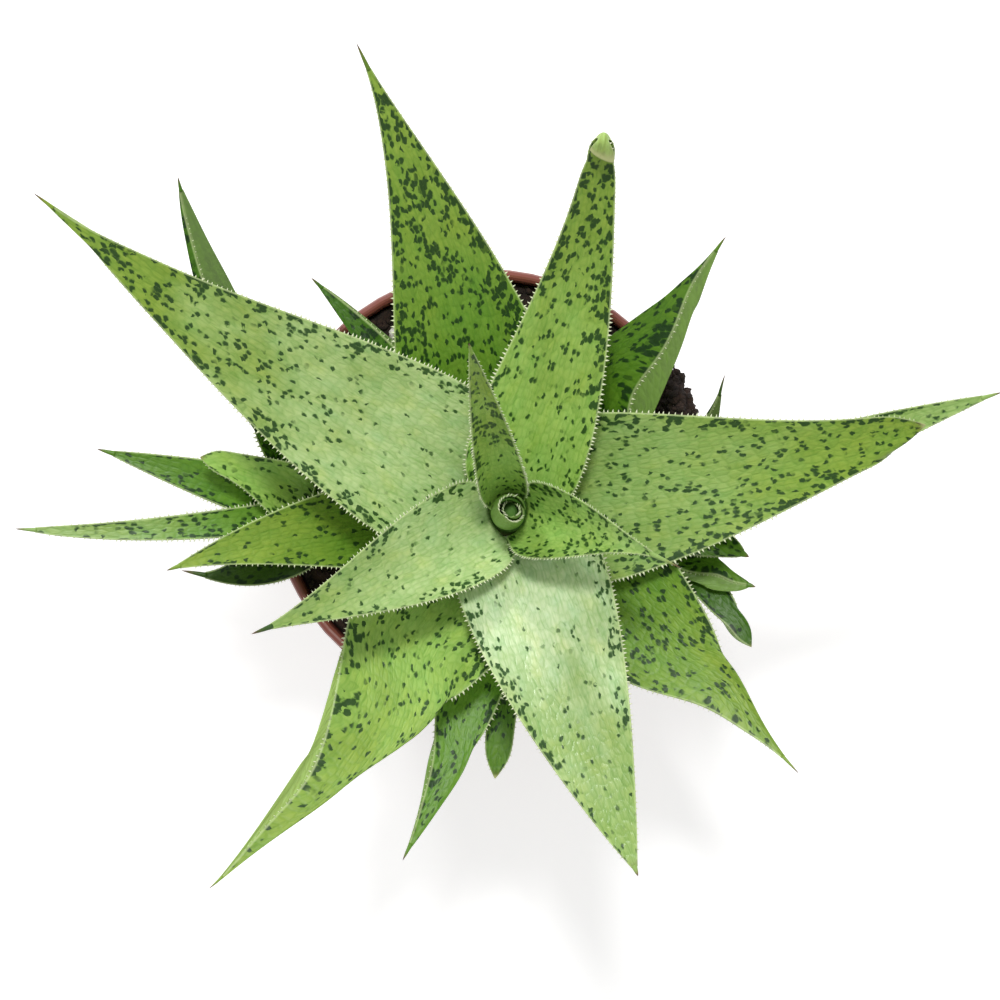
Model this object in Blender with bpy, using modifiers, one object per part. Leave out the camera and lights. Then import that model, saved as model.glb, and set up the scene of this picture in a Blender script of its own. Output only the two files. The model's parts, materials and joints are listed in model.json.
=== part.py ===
"""Potted aloe: one rosette and two offsets in a turned plastic nursery pot filled with potting soil.

Every leaf is a loft of crescent sections along an arching midline. The sections wrap the stem at the
leaf's base, as real aloe leaves do, and open out towards the tip. Lengths below are in millimetres and
angles in degrees. The origin is the centre of the pot's base, +Z is up.
"""

import math
from typing import NamedTuple

import bmesh
import bpy
import numpy as np

MM = 0.001
GAP = 0.3  # clearance between pieces that touch

# Pot: a standard 12 cm nursery pot
POT_HEIGHT = 105.0
POT_RADIUS = 60.0  # outside of the rim
POT_WALL = 1.8
COLLAR_HEIGHT = 14.0  # the wider band below the rim
COLLAR_STEP = 3.4  # how far the collar stands out of the wall
LIP_WIDTH = 2.9
LIP_HEIGHT = 2.6
POT_TAPER = 0.765  # radius of the wall's foot over its radius under the collar
FOOT_WIDTH = 6.0  # ring that the pot stands on
FLOOR_RISE = 3.2  # how far the floor is raised between the foot ring and the middle pad
PAD_RADIUS = 15.0
DRAIN_COUNT = 6
DRAIN_RADIUS = 4.2
NOTCH_WIDTH = 8.0  # gaps under the foot ring that let water out
NOTCH_HEIGHT = 1.5
POT_STEPS = 60

# Soil
SOIL_DROP = 6.0  # from the rim's top down to the soil at the wall
SOIL_MOUND = 1.2  # rise of the soil towards the middle

# Plant
PLANT_SIZE = 1.0  # scales the stems and leaves together
LEAF_THICKNESS = 5.0
LEVEL = 0.2 * LEAF_THICKNESS  # height on the stem taken by one unit of a leaf's level
STEM_RADIUS = 8.2  # main stem where it leaves the soil
STEM_TOP_RADIUS = 3.0
STEM_LEVELS = 39.0
STEM_DEPTH = 22.0
OFFSET_STEM_RADIUS = 5.2
OFFSET_STEM_TOP_RADIUS = 2.4
OFFSET_STEM_LEVELS = 13.5
OFFSET_STEM_DEPTH = 16.0
MAIN_AT = (6.0, -7.0)  # where the stems stand in the pot, before PLANT_SIZE
WEST_AT = (-43.0, -7.0)
EAST_AT = (45.0, -8.0)

# Leaf section and loft
CLASP = 76.0  # widest angle a leaf's half section may wrap round the stem
ACROSS = (-1.0, -0.8, -0.42, 0.0, 0.42, 0.8, 1.0)  # section points, from right margin to left margin
STATIONS = (0.0, 0.05, 0.12, 0.21, 0.32, 0.44, 0.57, 0.70, 0.82, 0.92)
BELLY = 0.13  # where along its length a leaf is widest
BASE_WIDTH = 0.8  # width at the base over the greatest width
BASE_THICKNESS = 0.5
TIP_THICKNESS = 0.3


class Stem(NamedTuple):
    name: str
    at: tuple
    radius: float
    top_radius: float
    levels: float
    depth: float


class Leaf(NamedTuple):
    name: str
    heading: float  # direction of the tip from the stem's axis, from +X towards +Y
    reach: float  # level distance from the stem's axis to the tip
    lift: float  # height of the tip above the leaf's base
    level: float  # place of the base on the stem, up from the soil
    rise: float  # slope where the leaf leaves the stem
    end: float  # slope at the tip
    width: float
    bow: float = 0.0  # how far the middle swings to the left of the line from base to tip
    taper: float = 1.6  # more makes a more slender leaf
    cup: float = 0.10  # extra hollow of the upper face
    roll: float = 0.0  # turn of the leaf about its midline
    thickness: float = 1.0  # over LEAF_THICKNESS
    blunt: float = 0.0  # width left at the tip over the greatest width
    colour: tuple = (0.32, 0.50, 0.20)


MAIN_STEM = Stem("main_stem", MAIN_AT, STEM_RADIUS, STEM_TOP_RADIUS, STEM_LEVELS, STEM_DEPTH)
WEST_STEM = Stem("west_offset_stem", WEST_AT, OFFSET_STEM_RADIUS, OFFSET_STEM_TOP_RADIUS,
                 OFFSET_STEM_LEVELS, OFFSET_STEM_DEPTH)
EAST_STEM = Stem("east_offset_stem", EAST_AT, OFFSET_STEM_RADIUS, OFFSET_STEM_TOP_RADIUS,
                 OFFSET_STEM_LEVELS, OFFSET_STEM_DEPTH)

PALE = (0.52, 0.66, 0.42)
GREEN = (0.34, 0.52, 0.22)
DEEP = (0.22, 0.40, 0.14)

# name, heading, reach, lift, level, rise, end, width
MAIN_LEAVES = (
    Leaf("heart_leaf", 50, 6, 19.5, 37.5, 82, 76, 10, cup=0.5, thickness=0.3, colour=GREEN),
    Leaf("inner_leaf_north", 103.5, 42.5, 81, 34, 70, 62, 13, taper=0.95, cup=0.3, thickness=0.56,
         colour=GREEN),
    Leaf("inner_leaf_east", -17.5, 44.5, 61, 30, 56, 50, 22, bow=1.5, taper=2.1, cup=0.25, thickness=0.64,
         colour=PALE),
    Leaf("inner_leaf_west", 205, 70.5, 67, 26, 46, 42, 28, bow=1.2, taper=1.35, thickness=0.84,
         colour=PALE),
    Leaf("leaf_south", -70.5, 96, 64.5, 20.5, 38, 34, 41.5, bow=-0.5, taper=0.95, colour=PALE),
    Leaf("leaf_north", 76, 97, 67, 22, 40, 60, 32, bow=-2.7, taper=1.9, blunt=0.24, colour=PALE),
    Leaf("leaf_west", 146, 142, 75, 18, 34, 24, 47, bow=2.8, taper=1.45, colour=PALE),
    Leaf("leaf_east", 12, 108.5, 56, 15, 32, 60, 46.5, bow=-2.3, taper=1.95, blunt=0.2, colour=PALE),
    Leaf("leaf_north_northwest", 108, 126, 57.8, 11.2, 29, 22, 46, bow=-3.4, taper=1.5, colour=GREEN),
    Leaf("leaf_southwest", 231.5, 122.5, 54.5, 13.5, 29, 20, 44.5, bow=1.9, taper=1.3, colour=GREEN),
    Leaf("leaf_southeast", -42, 102.5, 30.9, 10.0, 24, 14, 48, bow=2.0, taper=1.6, colour=GREEN),
    Leaf("leaf_northeast", 52, 92, 38.3, 4.5, 25, 18, 35, bow=-2.0, taper=1.35, colour=GREEN),
    Leaf("leaf_south_southwest", 253, 96.5, 24, 7, 20, 8, 23, bow=4, taper=1.1, colour=GREEN),
    Leaf("cut_leaf_south", 267, 72.5, 14.2, 1.8, 18, 0, 14.5, bow=1, taper=2.8, blunt=0.5, thickness=0.6,
         colour=DEEP),
    Leaf("leaf_west_low", 189.5, 91, 39.5, 3.5, 23, 18, 28, bow=-3.5, taper=1.05, colour=GREEN),
    Leaf("leaf_northwest_low", 130, 82, 16.8, 8.2, 21, 8, 15, bow=-1.6, taper=0.9, colour=DEEP),
)
WEST_LEAVES = (
    Leaf("west_offset_heart_leaf", 100, 11, 12.5, 12.5, 62, 56, 9, taper=1.2, cup=0.3, thickness=0.32,
         colour=PALE),
    Leaf("west_offset_leaf_1", 183, 82.5, 22.6, 8.4, 42, 6, 8, bow=2, taper=0.75, thickness=0.52,
         colour=GREEN),
    Leaf("west_offset_leaf_2", 164.5, 63.5, 20.7, 4.3, 46, 4, 15, taper=1.0, thickness=0.52, colour=DEEP),
    Leaf("west_offset_leaf_3", 156, 36.5, 22.5, 10.5, 48, 20, 19, bow=-1.5, taper=2.2, blunt=0.3,
         thickness=0.52, colour=DEEP),
    Leaf("west_offset_leaf_4", 113.5, 96, 42.2, 0.6, 30, 20, 17, bow=3.5, taper=0.85, thickness=0.52,
         colour=DEEP),
    Leaf("west_offset_leaf_5", 202, 42, 18.8, 1.7, 44, 5, 22, bow=6, taper=1.6, thickness=0.52,
         colour=DEEP),
)
EAST_LEAVES = (
    Leaf("east_offset_heart_leaf", 75, 10, 8.8, 12.2, 52, 40, 8, taper=1.2, cup=0.3, thickness=0.32,
         colour=PALE),
    Leaf("east_offset_leaf_1", 64.5, 41.5, 33.5, 4.5, 46, 34, 12.5, bow=-2.5, taper=1.5, thickness=0.52,
         colour=DEEP),
    Leaf("east_offset_leaf_2", 20, 94.5, 43.2, 9.8, 42, 20, 18.5, bow=1, taper=1.0, thickness=0.52,
         colour=GREEN),
    Leaf("east_offset_leaf_3", -23, 27.5, 16.6, 6.4, 46, 24, 15, bow=0.5, taper=0.8, thickness=0.48,
         colour=DEEP),
    Leaf("east_offset_leaf_4", -34.5, 33, 16.1, 3.3, 48, 12, 13.5, bow=-3.5, taper=0.7, thickness=0.48,
         colour=GREEN),
    Leaf("east_offset_leaf_5", -53, 44.5, 17, 0.8, 43, 2, 13.5, bow=0.8, taper=2.6, blunt=0.4,
         thickness=0.48, colour=DEEP),
)


def soil_edge():
    return POT_HEIGHT - SOIL_DROP


def ground():
    """Height at which the stems leave the soil."""
    return soil_edge() + SOIL_MOUND


def stem_foot(stem):
    """Where a stem's axis leaves the soil. The stems spread apart as the plant grows."""
    return PLANT_SIZE * stem.at[0], PLANT_SIZE * stem.at[1], ground()


def smooth(t):
    """0 to 1 with level ends."""
    t = min(max(t, 0.0), 1.0)
    return t * t * (3.0 - 2.0 * t)


def stem_radius(stem, level):
    share = min(max(level / stem.levels, 0.0), 1.0)
    return PLANT_SIZE * (stem.radius + (stem.top_radius - stem.radius) * share)


def midline(leaf, stem, t):
    """(level distance from the stem's axis, sideways, height above soil, slope) at t along a leaf."""
    start = np.array([stem_radius(stem, leaf.level) + 1.6 * GAP, leaf.level * LEVEL * PLANT_SIZE])
    end = np.array([leaf.reach, leaf.level * LEVEL + leaf.lift]) * PLANT_SIZE
    pull = 0.36 * np.linalg.norm(end - start)
    rise, fall = math.radians(leaf.rise), math.radians(leaf.end)
    points = (
        start,
        start + pull * np.array([math.cos(rise), math.sin(rise)]),
        end - pull * np.array([math.cos(fall), math.sin(fall)]),
        end,
    )
    weights = ((1 - t) ** 3, 3 * t * (1 - t) ** 2, 3 * t * t * (1 - t), t**3)
    out, up = sum(w * p for w, p in zip(weights, points))
    speeds = (3 * (1 - t) ** 2, 6 * t * (1 - t), 3 * t * t)
    d_out, d_up = sum(w * (b - a) for w, a, b in zip(speeds, points, points[1:]))
    share = (out - start[0]) / (end[0] - start[0])
    bow = 4.83 * leaf.bow * PLANT_SIZE
    side = bow * share**1.3 * (1.0 - share)
    d_side = bow * (1.3 * share**0.3 - 2.3 * share**1.3) / (end[0] - start[0])
    return out, side, up, math.atan2(d_up, d_out), d_side


def half_width(leaf, t):
    if t < BELLY:
        share = 1.0 - (1.0 - BASE_WIDTH) * ((BELLY - t) / BELLY) ** 2
    else:
        share = (1.0 - ((t - BELLY) / (1.0 - BELLY)) ** 1.5) ** leaf.taper
    if leaf.blunt:
        share = leaf.blunt + (1.0 - leaf.blunt) * share
        share *= math.sqrt(1.0 - max(0.0, (t - 0.8) / 0.2) ** 2)
    return 0.5 * PLANT_SIZE * leaf.width * share


def section(half, out, slope, thick, cup):
    """(along, across, above) round one section, from the middle of its upper face.

    The upper face lies on the cone about the stem that has this slope at this distance, so leaves nest
    as cones do. cup lifts the margins further.
    """
    level = max(math.cos(slope), 0.05)
    slant = out / level
    upper, lower = [], []
    for share in ACROSS:
        far = math.hypot(slant, share * half)
        turn = math.atan2(share * half, slant) / level
        outward = far * level * math.cos(turn) - out
        rise = (far - slant) * math.sin(slope)
        place = np.array([
            outward * math.cos(slope) + rise * math.sin(slope),
            far * level * math.sin(turn),
            rise * math.cos(slope) - outward * math.sin(slope) + cup * half * share * share,
        ])
        lean = math.sin(slope) * math.cos(turn)
        normal = np.array([
            math.sin(slope) * math.cos(slope) - lean * math.cos(slope),
            -math.sin(slope) * math.sin(turn),
            math.cos(slope) ** 2 + lean * math.sin(slope),
        ])
        upper.append(place)
        lower.append(place - normal * thick * (1.0 - share * share) ** 0.8)
    return upper + lower[-2:0:-1]


def leaf_rings(leaf, stem):
    """Rings of points from the base to the last station, and the tip, in millimetres in the pot's frame."""
    heading = math.radians(leaf.heading)
    ahead = np.array([math.cos(heading), math.sin(heading), 0.0])
    left = np.array([-math.sin(heading), math.cos(heading), 0.0])
    foot = np.array(stem_foot(stem))
    rings = []
    for t in STATIONS:
        out, side, up, slope, d_side = midline(leaf, stem, t)
        place = foot + out * ahead + side * left + up * np.array([0.0, 0.0, 1.0])
        flat = (ahead + d_side * left) / math.hypot(1.0, d_side)
        across = np.array([-flat[1], flat[0], 0.0])
        along = math.cos(slope) * flat + np.array([0.0, 0.0, math.sin(slope)])
        above = np.cross(along, across)
        roll = math.radians(leaf.roll) * smooth(t / 0.4)
        across, above = (
            math.cos(roll) * across + math.sin(roll) * above,
            math.cos(roll) * above - math.sin(roll) * across,
        )
        level = max(math.cos(slope), 0.05)
        widest = out / level * math.tan(min(math.radians(CLASP) * level, 1.3))
        half = min(half_width(leaf, t), widest)
        thick = PLANT_SIZE * LEAF_THICKNESS * leaf.thickness
        thick *= BASE_THICKNESS + (1.0 - BASE_THICKNESS) * smooth(t / 0.25)
        thick *= 1.0 - (1.0 - TIP_THICKNESS) * t**1.4
        thick = min(thick, 0.9 * half)
        ring = section(half, out, slope, thick, leaf.cup * smooth(t / 0.25))
        rings.append([place + a * along + b * across + c * above for a, b, c in ring])
    out, side, up, _, _ = midline(leaf, stem, 1.0)
    tip = foot + out * ahead + side * left + up * np.array([0.0, 0.0, 1.0])
    return rings, tip


def material(name, colour, rough):
    mat = bpy.data.materials.new(name)
    mat.use_nodes = True
    shader = mat.node_tree.nodes["Principled BSDF"]
    shader.inputs["Base Color"].default_value = (*colour, 1.0)
    shader.inputs["Roughness"].default_value = rough
    return mat


def add_object(mesh, name, colour, rough, home):
    ob = bpy.data.objects.new(name, mesh)
    mesh.materials.append(material(name, colour, rough))
    home.objects.link(ob)
    return ob


def smooth_faces(ob, angle):
    for face in ob.data.polygons:
        face.use_smooth = True
    ob.data.set_sharp_from_angle(angle=math.radians(angle))


def add_leaf(leaf, stem, home):
    """A loft through the leaf's rings, closed by a cap at its base and a point at its tip."""
    rings, tip = leaf_rings(leaf, stem)
    count = len(rings[0])
    mesh = bpy.data.meshes.new(leaf.name)
    bm = bmesh.new()
    rows = [[bm.verts.new(point * MM) for point in ring] for ring in rings]
    point = bm.verts.new(tip * MM)
    for near, far in zip(rows, rows[1:]):
        for i in range(count):
            j = (i + 1) % count
            bm.faces.new((near[i], near[j], far[j], far[i]))
    for i in range(count):
        bm.faces.new((rows[-1][i], rows[-1][(i + 1) % count], point))
    bm.faces.new(list(reversed(rows[0])))
    bmesh.ops.recalc_face_normals(bm, faces=bm.faces)
    bm.to_mesh(mesh)
    bm.free()
    ob = add_object(mesh, leaf.name, leaf.colour, 0.45, home)
    smooth_faces(ob, 50)
    return ob


def add_turned(name, profile, steps, colour, rough, home):
    """A solid of revolution from (radius, height) points, axis to axis, that run down the outer side."""
    mesh = bpy.data.meshes.new(name)
    places = [(r * MM, 0.0, z * MM) for r, z in profile]
    mesh.from_pydata(places, [(i, i + 1) for i in range(len(places) - 1)], [])
    ob = add_object(mesh, name, colour, rough, home)
    screw = ob.modifiers.new("turn", "SCREW")
    screw.axis = "Z"
    screw.angle = math.radians(360)
    screw.steps = steps
    screw.render_steps = steps
    screw.use_merge_vertices = True
    screw.merge_threshold = 0.00001
    screw.use_smooth_shade = True
    return ob


def cut(ob, cutter):
    boolean = ob.modifiers.new("cut_" + cutter.name, "BOOLEAN")
    boolean.operation = "DIFFERENCE"
    boolean.solver = "EXACT"
    boolean.object = cutter
    cutter.hide_render = True
    cutter.display_type = "WIRE"


def stem_profile(stem, grow):
    """(radius, height above soil) down a stem with a rounded top and a blunt foot, grown all round."""
    top = stem.levels * LEVEL * PLANT_SIZE
    radius = stem.radius * PLANT_SIZE
    crown = stem.top_radius * PLANT_SIZE
    depth = stem.depth * PLANT_SIZE
    return [
        (0.0, top + grow),
        (0.55 * crown + grow, top - 0.12 * crown + grow),
        (0.9 * crown + grow, top - 0.45 * crown),
        (crown + grow, top - crown),
        (radius + grow, 0.0),
        (radius + grow, -0.35 * depth),
        (0.82 * radius + grow, -0.75 * depth - 0.3 * grow),
        (0.5 * radius + grow, -0.95 * depth - 0.9 * grow),
        (0.0, -depth - grow),
    ]


def add_stem(stem, home, grow=0.0):
    name = stem.name if not grow else stem.name + "_pocket"
    ob = add_turned(name, stem_profile(stem, grow), 24, (0.30, 0.32, 0.14), 0.7, home)
    ob.location = [place * MM for place in stem_foot(stem)]
    return ob


def pot_inside(grow):
    """(radius, height) down the pot's inner side from the rim to the middle of the floor.

    grow moves the line into the pot's hollow, for what fills it.
    """
    shoulder = POT_HEIGHT - COLLAR_HEIGHT
    neck = POT_RADIUS - COLLAR_STEP - POT_WALL
    wall_foot = (POT_RADIUS - COLLAR_STEP) * POT_TAPER - POT_WALL
    foot_inner = wall_foot + POT_WALL - FOOT_WIDTH
    return [
        (POT_RADIUS - LIP_WIDTH - grow, POT_HEIGHT - LIP_HEIGHT),
        (POT_RADIUS - LIP_WIDTH - grow, shoulder + 2.0 + grow),
        (neck - grow, shoulder - 1.0 + 0.4 * grow),
        (wall_foot - grow, POT_WALL + 1.0 + grow),
        (wall_foot - 1.2 - grow, POT_WALL + grow),
        (foot_inner + 0.6 + grow, POT_WALL + grow),
        (foot_inner - 1.6 + 0.5 * grow, FLOOR_RISE + POT_WALL + grow),
        (PAD_RADIUS + 1.6 - 0.5 * grow, FLOOR_RISE + POT_WALL + grow),
        (PAD_RADIUS - 0.8 - grow, POT_WALL + grow),
        (0.0, POT_WALL + grow),
    ]


def add_pot(home, cutters):
    shoulder = POT_HEIGHT - COLLAR_HEIGHT
    neck = POT_RADIUS - COLLAR_STEP
    wall_foot = neck * POT_TAPER
    foot_inner = wall_foot - FOOT_WIDTH
    lip_inner = POT_RADIUS - LIP_WIDTH
    outside = [
        (lip_inner + 0.35, POT_HEIGHT - 0.7),
        (lip_inner + 1.0, POT_HEIGHT - 0.12),
        (POT_RADIUS - 1.3, POT_HEIGHT),
        (POT_RADIUS - 0.45, POT_HEIGHT - 0.4),
        (POT_RADIUS, POT_HEIGHT - 1.3),
        (POT_RADIUS - 0.15, POT_HEIGHT - LIP_HEIGHT),
        (POT_RADIUS - 0.8, POT_HEIGHT - LIP_HEIGHT - 0.5),
        (POT_RADIUS - 1.2, shoulder + 0.6),
        (POT_RADIUS - 1.8, shoulder),
        (neck + 0.3, shoulder - 0.4),
        (neck, shoulder - 1.2),
        (wall_foot, 1.2),
        (wall_foot - 0.5, 0.3),
        (wall_foot - 1.2, 0.0),
        (foot_inner, 0.0),
        (foot_inner - 2.2, FLOOR_RISE),
        (PAD_RADIUS + 2.2, FLOOR_RISE),
        (PAD_RADIUS, 0.0),
        (0.0, 0.0),
    ]
    profile = list(reversed(pot_inside(0.0))) + outside
    pot = add_turned("pot", profile, POT_STEPS, (0.42, 0.13, 0.09), 0.45, home)
    ring = 0.5 * (foot_inner - 2.2 + PAD_RADIUS + 2.2)
    for i in range(DRAIN_COUNT):
        turn = 2.0 * math.pi * i / DRAIN_COUNT
        bpy.ops.mesh.primitive_cylinder_add(
            vertices=20,
            radius=DRAIN_RADIUS * MM,
            depth=4.0 * FLOOR_RISE * MM,
            location=(ring * math.cos(turn) * MM, ring * math.sin(turn) * MM, FLOOR_RISE * MM),
        )
        hole = bpy.context.object
        hole.name = f"drain_{i + 1}"
        move_to(hole, cutters)
        cut(pot, hole)
        turn += math.pi / DRAIN_COUNT
        reach = foot_inner + 0.5 * FOOT_WIDTH
        bpy.ops.mesh.primitive_cube_add(
            size=MM,
            location=(reach * math.cos(turn) * MM, reach * math.sin(turn) * MM, 0.0),
            rotation=(0.0, 0.0, turn),
            scale=(2.5 * FOOT_WIDTH, NOTCH_WIDTH, 2.0 * NOTCH_HEIGHT),
        )
        notch = bpy.context.object
        notch.name = f"foot_notch_{i + 1}"
        move_to(notch, cutters)
        cut(pot, notch)
    return pot


def move_to(ob, home):
    for other in list(ob.users_collection):
        other.objects.unlink(ob)
    home.objects.link(ob)


def add_soil(home, cutters):
    """The filling: a turned solid that follows the pot's inside, with a pocket for each stem."""
    inside = [(r, z) for r, z in pot_inside(GAP) if z < soil_edge() - 1.0]
    edge = POT_RADIUS - LIP_WIDTH - GAP
    top = soil_edge()
    surface = [
        (0.0, top + SOIL_MOUND),
        (0.3 * edge, top + 0.9 * SOIL_MOUND),
        (0.6 * edge, top + 0.6 * SOIL_MOUND),
        (0.85 * edge, top + 0.2 * SOIL_MOUND),
        (edge - 0.8, top),
        (edge, top - 0.8),
    ]
    soil = add_turned("soil", surface + inside, POT_STEPS, (0.07, 0.04, 0.025), 0.9, home)
    for stem in (MAIN_STEM, WEST_STEM, EAST_STEM):
        cut(soil, add_stem(stem, cutters, GAP))
    return soil


def main():
    for ob in list(bpy.data.objects):
        bpy.data.objects.remove(ob, do_unlink=True)
    home = bpy.data.collections.new("potted_aloe")
    cutters = bpy.data.collections.new("cutters")
    bpy.context.scene.collection.children.link(home)
    bpy.context.scene.collection.children.link(cutters)
    add_pot(home, cutters)
    add_soil(home, cutters)
    for stem, leaves in (
        (MAIN_STEM, MAIN_LEAVES),
        (WEST_STEM, WEST_LEAVES),
        (EAST_STEM, EAST_LEAVES),
    ):
        add_stem(stem, home)
        for leaf in leaves:
            add_leaf(leaf, stem, home)


main()
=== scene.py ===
"""Looks of the potted aloe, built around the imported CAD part.

Each leaf is remade as a fine surface through the section rings of its own CAD solid, with real marginal
teeth. Lengths in this file are in metres unless a name says otherwise.
"""

import json
import math
from typing import NamedTuple

import bmesh
import bpy
import numpy as np
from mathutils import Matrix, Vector, noise
from mathutils.bvhtree import BVHTree


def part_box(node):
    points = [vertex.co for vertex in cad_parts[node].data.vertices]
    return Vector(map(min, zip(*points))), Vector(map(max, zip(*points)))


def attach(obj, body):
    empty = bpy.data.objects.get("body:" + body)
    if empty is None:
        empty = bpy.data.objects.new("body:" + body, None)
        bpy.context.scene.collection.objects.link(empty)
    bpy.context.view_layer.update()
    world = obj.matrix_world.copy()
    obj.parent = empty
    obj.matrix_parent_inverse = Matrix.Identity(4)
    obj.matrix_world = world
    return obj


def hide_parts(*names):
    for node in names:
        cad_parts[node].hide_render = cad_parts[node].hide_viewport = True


MM = 0.001
RING = 12  # points round each section of a CAD leaf
HALF_RING = RING // 2

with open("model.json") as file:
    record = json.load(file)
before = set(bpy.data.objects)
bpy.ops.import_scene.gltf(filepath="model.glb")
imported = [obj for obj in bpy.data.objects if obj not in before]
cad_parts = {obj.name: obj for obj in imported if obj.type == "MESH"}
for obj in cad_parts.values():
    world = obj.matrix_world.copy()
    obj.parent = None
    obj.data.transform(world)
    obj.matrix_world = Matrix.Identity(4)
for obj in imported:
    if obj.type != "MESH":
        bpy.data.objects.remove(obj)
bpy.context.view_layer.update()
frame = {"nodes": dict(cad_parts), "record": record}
rng = np.random.default_rng(20)
home = bpy.data.collections.new("looks")
bpy.context.scene.collection.children.link(home)


# ---------------------------------------------------------------- leaf shapes from the CAD solids


def welded(node):
    """Points and triangles of a CAD node with shared corners."""
    mesh = node.data
    mesh.calc_loop_triangles()
    points = np.empty(len(mesh.vertices) * 3)
    mesh.vertices.foreach_get("co", points)
    points = points.reshape(-1, 3)
    keys = np.round(points / 2e-6).astype(np.int64)
    _, first, back = np.unique(keys, axis=0, return_index=True, return_inverse=True)
    triangles = np.empty(len(mesh.loop_triangles) * 3, dtype=np.int32)
    mesh.loop_triangles.foreach_get("vertices", triangles)
    triangles = back.reshape(-1)[triangles].reshape(-1, 3)
    real = [len(set(t)) == 3 for t in triangles.tolist()]
    return points[first], triangles[real]


def layers_from(start, neighbours):
    """How many edges each point is from start, and the points at each distance."""
    depth = {start: 0}
    layers = [[start]]
    while layers[-1]:
        found = []
        for point in layers[-1]:
            for other in neighbours[point]:
                if other not in depth:
                    depth[other] = len(layers)
                    found.append(other)
        layers.append(found)
    return depth, layers[:-1]


def rings_of(node):
    """The section rings of a CAD leaf from base to tip, (rings, 12, 3), and its tip.

    Point 0 of a ring is on one margin, 6 on the other, and 1 to 5 are on the upper face.
    """
    points, triangles = welded(node)
    neighbours = [set() for _ in points]
    for a, b, c in triangles.tolist():
        neighbours[a] |= {b, c}
        neighbours[b] |= {a, c}
        neighbours[c] |= {a, b}
    for tip in sorted(range(len(points)), key=lambda i: abs(len(neighbours[i]) - RING)):
        depth, layers = layers_from(tip, neighbours)
        if all(len(layer) == RING for layer in layers[1:]):
            break
    else:
        raise ValueError(f"{node.name} has no rings of {RING} points")
    follows = {}
    for triangle in triangles.tolist():
        nearest = min(depth[v] for v in triangle)
        inner = [i for i, v in enumerate(triangle) if depth[v] == nearest]
        if len(inner) == 1:
            i = inner[0]
            follows[triangle[(i + 1) % 3]] = triangle[(i + 2) % 3]
    loops = []
    for layer in layers[1:]:
        loop = [layer[0]]
        while len(loop) < RING:
            loop.append(follows[loop[-1]])
        loop = points[loop]
        if loops:
            turns = [np.abs(np.roll(loop, -k, axis=0) - loops[-1]).sum() for k in range(RING)]
            loop = np.roll(loop, -int(np.argmin(turns)), axis=0)
        loops.append(loop)
    rings = np.array(loops[::-1])
    before = rings - np.roll(rings, 1, axis=1)
    after = np.roll(rings, -1, axis=1) - rings
    cosine = (before * after).sum(2) / np.linalg.norm(before, axis=2) / np.linalg.norm(after, axis=2)
    bend = (1.0 - cosine).mean(0)
    rings = np.roll(rings, -int(np.argmax(bend[:HALF_RING] + bend[HALF_RING:])), axis=1)
    lift = (rings[:5, 3] - rings[:5, 9])[:, 2].sum()
    if lift < 0:
        rings = np.roll(rings, -HALF_RING, axis=1)
    return rings, points[tip]


def spline(knots, values, at):
    """Natural cubic spline through values (n, ...) at the given places."""
    knots = np.asarray(knots, float)
    shape = values.shape[1:]
    values = values.reshape(len(knots), -1)
    step = np.diff(knots)
    rise = np.diff(values, axis=0) / step[:, None]
    count = len(knots)
    system = np.eye(count)
    right = np.zeros_like(values)
    for i in range(1, count - 1):
        system[i, i - 1] = step[i - 1]
        system[i, i] = 2.0 * (step[i - 1] + step[i])
        system[i, i + 1] = step[i]
        right[i] = 6.0 * (rise[i] - rise[i - 1])
    bend = np.linalg.solve(system, right)
    at = np.asarray(at, float)
    k = np.clip(np.searchsorted(knots, at, side="right") - 1, 0, count - 2)
    h = step[k][:, None]
    a = (knots[k + 1] - at)[:, None] / h
    b = 1.0 - a
    out = a * values[k] + b * values[k + 1]
    out += ((a**3 - a) * bend[k] + (b**3 - b) * bend[k + 1]) * h * h / 6.0
    return out.reshape(len(at), *shape)


class Fine(NamedTuple):
    """A leaf's fine grid: upper and lower faces (stations, points, 3), with their places in the leaf."""

    upper: np.ndarray
    lower: np.ndarray
    share: np.ndarray
    along: np.ndarray
    length: float


def unit(v):
    return v / np.maximum(np.linalg.norm(v, axis=-1, keepdims=True), 1e-12)


def fine_grid(rings, tip, step=1.1 * MM, across=25):
    lines = np.concatenate([rings, np.repeat(tip[None, None], RING, axis=1)], axis=0)
    middle = lines[:, 3]
    knots = np.concatenate([[0.0], np.cumsum(np.linalg.norm(np.diff(middle, axis=0), axis=1))])
    length = knots[-1]
    count = int(np.clip(length / step, 26, 150))
    t = np.linspace(0.0, 1.0, count)
    t = t + 0.10 * np.sin(math.pi * t) * t  # closer stations towards the tip
    t = np.clip(t / t[-1], 0.0, 1.0)
    stations = spline(knots, lines, t * length)
    share = np.sin(np.linspace(-0.5, 0.5, across) * math.pi * 0.92) / math.sin(0.46 * math.pi)
    places = np.array([-1.0, -0.8, -0.42, 0.0, 0.42, 0.8, 1.0])
    upper_knots = stations[:, [0, 1, 2, 3, 4, 5, 6]]
    lower_knots = stations[:, [0, 11, 10, 9, 8, 7, 6]]
    upper = spline(places, upper_knots.transpose(1, 0, 2), share).transpose(1, 0, 2)
    lower = spline(places, lower_knots.transpose(1, 0, 2), share).transpose(1, 0, 2)
    return Fine(upper, lower, share, t * length, length)


def grid_normals(grid):
    along = np.gradient(grid, axis=0)
    across = np.gradient(grid, axis=1)
    return unit(np.cross(across, along))


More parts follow.
